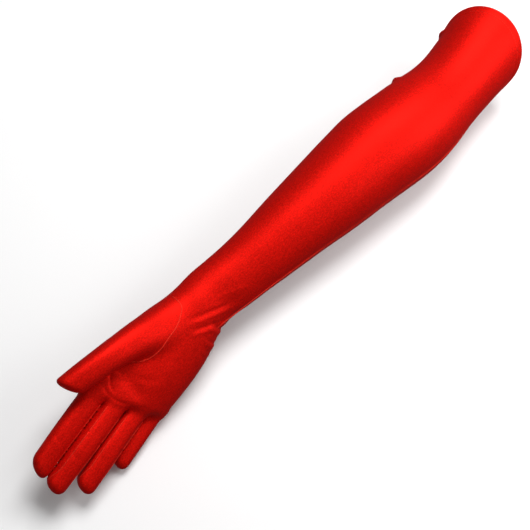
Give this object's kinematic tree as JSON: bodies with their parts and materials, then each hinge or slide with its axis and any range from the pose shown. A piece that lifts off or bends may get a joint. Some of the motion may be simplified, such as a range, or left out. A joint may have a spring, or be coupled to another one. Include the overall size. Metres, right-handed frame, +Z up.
{
  "type": "opera glove",
  "caption": "Opera glove for the right hand in red stretch satin, reaching over the elbow, with a set-in thumb, fourchettes between the fingers and a turned hem.",
  "frame": {"origin": "middle of the bounding box's base, on the surface that the glove lies on", "axes": "+X along the sleeve from the fingertips to the arm opening, +Y toward the thumb side, +Z up out of the table; the palm faces up and is rolled 30 degrees toward -Y"},
  "size_m": [0.5486, 0.0906, 0.0795],
  "materials": {
    "satin_red": "stretch satin, smooth soft sheen",
    "satin_red_inset": "stretch satin of the thumb and fourchettes, soft sheen",
    "satin_red_stretch": "stretch satin that folds at a joint, soft sheen",
    "thread_red": "matching sewing thread and seam ridge, dull"
  },
  "bodies": {
    "upper_arm": {"elbow_flex": "satin_red_stretch", "hem_band": "satin_red", "hem_stitch": "thread_red", "upper_arm_side_seam": "thread_red", "upper_arm_trank": "satin_red"},
    "forearm": {"forearm_side_seam": "thread_red", "forearm_trank": "satin_red", "wrist_flex": "satin_red_stretch"},
    "hand": {"hand_trank_back": "satin_red", "hand_trank_palm": "satin_red", "index_knuckle_flex": "satin_red_stretch", "little_knuckle_flex": "satin_red_stretch", "middle_knuckle_flex": "satin_red_stretch", "ring_knuckle_flex": "satin_red_stretch", "thumb_heel": "satin_red_inset", "thumb_knuckle_flex": "satin_red_stretch", "thumb_seam": "thread_red"},
    "index_base": {"index_base_back": "satin_red", "index_base_fourchette_outer": "satin_red_inset", "index_base_front": "satin_red", "index_joint_flex": "satin_red_stretch"},
    "index_tip": {"index_tip_back": "satin_red", "index_tip_fourchette_outer": "satin_red_inset", "index_tip_front": "satin_red"},
    "little_base": {"little_base_back": "satin_red", "little_base_fourchette_inner": "satin_red_inset", "little_base_front": "satin_red", "little_joint_flex": "satin_red_stretch"},
    "little_tip": {"little_tip_back": "satin_red", "little_tip_fourchette_inner": "satin_red_inset", "little_tip_front": "satin_red"},
    "middle_base": {"middle_base_back": "satin_red", "middle_base_fourchette_inner": "satin_red_inset", "middle_base_fourchette_outer": "satin_red_inset", "middle_base_front": "satin_red", "middle_joint_flex": "satin_red_stretch"},
    "middle_tip": {"middle_tip_back": "satin_red", "middle_tip_fourchette_inner": "satin_red_inset", "middle_tip_fourchette_outer": "satin_red_inset", "middle_tip_front": "satin_red"},
    "ring_base": {"ring_base_back": "satin_red", "ring_base_fourchette_inner": "satin_red_inset", "ring_base_fourchette_outer": "satin_red_inset", "ring_base_front": "satin_red", "ring_joint_flex": "satin_red_stretch"},
    "ring_tip": {"ring_tip_back": "satin_red", "ring_tip_fourchette_inner": "satin_red_inset", "ring_tip_fourchette_outer": "satin_red_inset", "ring_tip_front": "satin_red"},
    "thumb_base": {"thumb_base_back": "satin_red_inset", "thumb_base_front": "satin_red_inset", "thumb_joint_flex": "satin_red_stretch"},
    "thumb_tip": {"thumb_tip_back": "satin_red_inset", "thumb_tip_front": "satin_red_inset"}
  },
  "joints": [
    {"name": "elbow", "type": "hinge", "parent": "upper_arm", "child": "forearm", "pos_m": [0.17701, -0.00643, 0.037], "axis": [0, 0, -1], "range_deg": [-10, 60], "deforming": ["elbow_flex"]},
    {"name": "wrist", "type": "hinge", "parent": "forearm", "child": "hand", "pos_m": [-0.07699, 0.01607, 0.0366], "axis": [0, 0.866, 0.5], "range_deg": [-40, 50], "deforming": ["wrist_flex"]},
    {"name": "thumb_base", "type": "hinge", "parent": "hand", "child": "thumb_base", "pos_m": [-0.17129, 0.03094, 0.06419], "axis": [-0.1054, 0.517, -0.8495], "range_deg": [-5, 40], "deforming": ["thumb_knuckle_flex"]},
    {"name": "thumb_joint", "type": "hinge", "parent": "thumb_base", "child": "thumb_tip", "pos_m": [-0.19529, 0.0342, 0.06669], "axis": [0.1451, 0.8569, 0.4947], "range_deg": [0, 50], "deforming": ["thumb_joint_flex"]},
    {"name": "index_knuckle", "type": "hinge", "parent": "hand", "child": "index_base", "pos_m": [-0.20229, 0.0254, 0.0427], "axis": [-0.1351, 0.8581, 0.4954], "range_deg": [0, 60], "deforming": ["index_knuckle_flex"]},
    {"name": "index_joint", "type": "hinge", "parent": "index_base", "child": "index_tip", "pos_m": [-0.23729, 0.02065, 0.04085], "axis": [-0.1582, 0.8551, 0.4937], "range_deg": [0, 60], "deforming": ["index_joint_flex"]},
    {"name": "middle_knuckle", "type": "hinge", "parent": "hand", "child": "middle_base", "pos_m": [-0.19829, 0.00934, 0.03325], "axis": [-0.13, 0.8587, 0.4958], "range_deg": [0, 60], "deforming": ["middle_knuckle_flex"]},
    {"name": "middle_joint", "type": "hinge", "parent": "middle_base", "child": "middle_tip", "pos_m": [-0.23729, 0.0039, 0.03191], "axis": [-0.1433, 0.8571, 0.4948], "range_deg": [0, 60], "deforming": ["middle_joint_flex"]},
    {"name": "ring_knuckle", "type": "hinge", "parent": "hand", "child": "ring_base", "pos_m": [-0.19229, -0.0042, 0.02222], "axis": [-0.1361, 0.858, 0.4953], "range_deg": [0, 60], "deforming": ["ring_knuckle_flex"]},
    {"name": "ring_joint", "type": "hinge", "parent": "ring_base", "child": "ring_tip", "pos_m": [-0.22529, -0.00937, 0.02084], "axis": [-0.1647, 0.8542, 0.4932], "range_deg": [0, 60], "deforming": ["ring_joint_flex"]},
    {"name": "little_knuckle", "type": "hinge", "parent": "hand", "child": "little_base", "pos_m": [-0.18629, -0.01247, 0.00835], "axis": [-0.1498, 0.7905, 0.5939], "range_deg": [0, 60], "deforming": ["little_knuckle_flex"]},
    {"name": "little_joint", "type": "hinge", "parent": "little_base", "child": "little_tip", "pos_m": [-0.20829, -0.01605, 0.00722], "axis": [-0.173, 0.853, 0.4925], "range_deg": [0, 60], "deforming": ["little_joint_flex"]}
  ]
}
